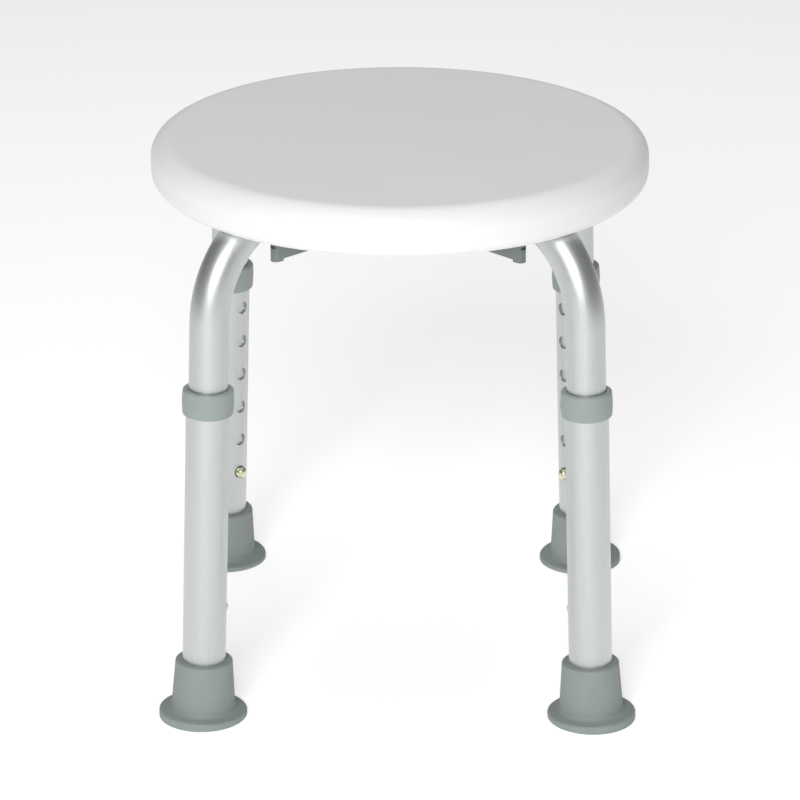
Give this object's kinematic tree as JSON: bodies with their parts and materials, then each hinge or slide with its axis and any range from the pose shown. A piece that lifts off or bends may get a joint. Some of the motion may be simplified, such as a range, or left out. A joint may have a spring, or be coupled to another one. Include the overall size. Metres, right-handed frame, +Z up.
{
  "type": "shower stool",
  "caption": "Round bath stool: blow-moulded disc seat on four splayed telescopic tube legs with snap buttons, collars and flanged rubber feet.",
  "frame": {"origin": "on the floor under the middle of the seat, at the stool's lowest setting", "axes": "+Z up through the seat's middle; the front is -Y; the four legs stand at 45 degrees between X and Y"},
  "size_m": [0.33, 0.33, 0.3635],
  "materials": {
    "seat_plastic": "blow-moulded white polyethylene, fine satin grain",
    "frame_plastic": "moulded grey nylon, satin",
    "lever_plastic": "moulded grey nylon, satin",
    "collar_plastic": "moulded grey plastic, satin",
    "foot_rubber": "moulded grey rubber, matte",
    "tube_aluminium": "satin clear-anodised drawn tube",
    "steel": "zinc-plated steel",
    "plated_spring_steel": "yellow-zinc-plated spring steel"
  },
  "bodies": {
    "frame": {"seat_shell": "seat_plastic", "centre_hub": "frame_plastic", "hub_screws": "steel", "bracket_screws": "steel", "lever_pins": "steel", "upper_leg_tube_rear_right": "tube_aluminium", "leg_bracket_rear_right": "frame_plastic", "upper_leg_tube_rear_left": "tube_aluminium", "leg_bracket_rear_left": "frame_plastic", "upper_leg_tube_front_left": "tube_aluminium", "leg_bracket_front_left": "frame_plastic", "upper_leg_tube_front_right": "tube_aluminium", "leg_bracket_front_right": "frame_plastic"},
    "lower_leg_rear_right": {"lower_leg_tube_rear_right": "tube_aluminium", "leg_collar_rear_right": "collar_plastic", "leg_foot_rear_right": "foot_rubber", "foot_washer_rear_right": "steel"},
    "button_rear_right": {"snap_button_rear_right": "plated_spring_steel"},
    "lever_rear_right": {"lock_lever_rear_right": "lever_plastic"},
    "lower_leg_rear_left": {"lower_leg_tube_rear_left": "tube_aluminium", "leg_collar_rear_left": "collar_plastic", "leg_foot_rear_left": "foot_rubber", "foot_washer_rear_left": "steel"},
    "button_rear_left": {"snap_button_rear_left": "plated_spring_steel"},
    "lever_rear_left": {"lock_lever_rear_left": "lever_plastic"},
    "lower_leg_front_left": {"lower_leg_tube_front_left": "tube_aluminium", "leg_collar_front_left": "collar_plastic", "leg_foot_front_left": "foot_rubber", "foot_washer_front_left": "steel"},
    "button_front_left": {"snap_button_front_left": "plated_spring_steel"},
    "lever_front_left": {"lock_lever_front_left": "lever_plastic"},
    "lower_leg_front_right": {"lower_leg_tube_front_right": "tube_aluminium", "leg_collar_front_right": "collar_plastic", "leg_foot_front_right": "foot_rubber", "foot_washer_front_right": "steel"},
    "button_front_right": {"snap_button_front_right": "plated_spring_steel"},
    "lever_front_right": {"lock_lever_front_right": "lever_plastic"}
  },
  "joints": [
    {"name": "leg_extend_rear_right", "type": "slide", "parent": "frame", "child": "lower_leg_rear_right", "axis": [0.0308, 0.0308, -0.999], "range_m": [0, 0.127]},
    {"name": "button_press_rear_right", "type": "slide", "parent": "frame", "child": "button_rear_right", "axis": [0.7064, 0.7064, 0.0436], "range_m": [0, 0.0065], "stiffness_N_per_m": 2500, "deforming": ["snap_button_rear_right"]},
    {"name": "lever_swing_rear_right", "type": "hinge", "parent": "frame", "child": "lever_rear_right", "pos_m": [0.0623, 0.0623, 0.31], "axis": [-0.7071, 0.7071, 0], "range_deg": [0, 90]},
    {"name": "leg_extend_rear_left", "type": "slide", "parent": "frame", "child": "lower_leg_rear_left", "axis": [-0.0308, 0.0308, -0.999], "range_m": [0, 0.127]},
    {"name": "button_press_rear_left", "type": "slide", "parent": "frame", "child": "button_rear_left", "axis": [-0.7064, 0.7064, 0.0436], "range_m": [0, 0.0065], "stiffness_N_per_m": 2500, "deforming": ["snap_button_rear_left"]},
    {"name": "lever_swing_rear_left", "type": "hinge", "parent": "frame", "child": "lever_rear_left", "pos_m": [-0.0623, 0.0623, 0.31], "axis": [-0.7071, -0.7071, 0], "range_deg": [0, 90]},
    {"name": "leg_extend_front_left", "type": "slide", "parent": "frame", "child": "lower_leg_front_left", "axis": [-0.0308, -0.0308, -0.999], "range_m": [0, 0.127]},
    {"name": "button_press_front_left", "type": "slide", "parent": "frame", "child": "button_front_left", "axis": [-0.7064, -0.7064, 0.0436], "range_m": [0, 0.0065], "stiffness_N_per_m": 2500, "deforming": ["snap_button_front_left"]},
    {"name": "lever_swing_front_left", "type": "hinge", "parent": "frame", "child": "lever_front_left", "pos_m": [-0.0623, -0.0623, 0.31], "axis": [0.7071, -0.7071, 0], "range_deg": [0, 90]},
    {"name": "leg_extend_front_right", "type": "slide", "parent": "frame", "child": "lower_leg_front_right", "axis": [0.0308, -0.0308, -0.999], "range_m": [0, 0.127]},
    {"name": "button_press_front_right", "type": "slide", "parent": "frame", "child": "button_front_right", "axis": [0.7064, -0.7064, 0.0436], "range_m": [0, 0.0065], "stiffness_N_per_m": 2500, "deforming": ["snap_button_front_right"]},
    {"name": "lever_swing_front_right", "type": "hinge", "parent": "frame", "child": "lever_front_right", "pos_m": [0.0623, -0.0623, 0.31], "axis": [0.7071, 0.7071, 0], "range_deg": [0, 90]}
  ]
}
